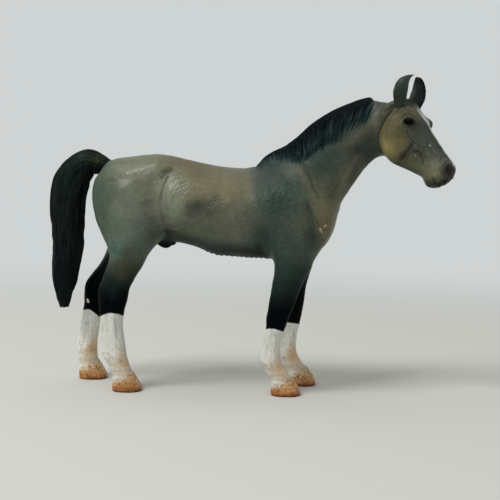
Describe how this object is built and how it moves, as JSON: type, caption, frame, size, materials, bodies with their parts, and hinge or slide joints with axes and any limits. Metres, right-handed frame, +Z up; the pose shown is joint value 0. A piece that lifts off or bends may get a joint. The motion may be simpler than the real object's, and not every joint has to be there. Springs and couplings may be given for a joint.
{
  "type": "toy horse figure",
  "caption": "Solid vinyl toy horse standing on its hooves, with moulded mane, curled-in ears and an arched hanging tail.",
  "frame": {"origin": "middle of the ground under the figure, at the bottom centre of its bounding box", "axes": "+X from tail to muzzle, +Y to the horse's left, +Z up"},
  "size_m": [0.142, 0.0388, 0.1115],
  "materials": {
    "coat": "hand-painted vinyl under a satin varnish, olive beige with blue green shading",
    "sock": "hand-painted vinyl, off-white socks with amber brown hooves",
    "hair": "hand-painted vinyl, black with a soft sheen"
  },
  "bodies": {
    "root": {"body": "coat", "head": "coat", "right_foreleg": "sock", "left_foreleg": "sock", "right_hind_leg": "sock", "left_hind_leg": "sock", "tail": "hair"}
  },
  "joints": []
}
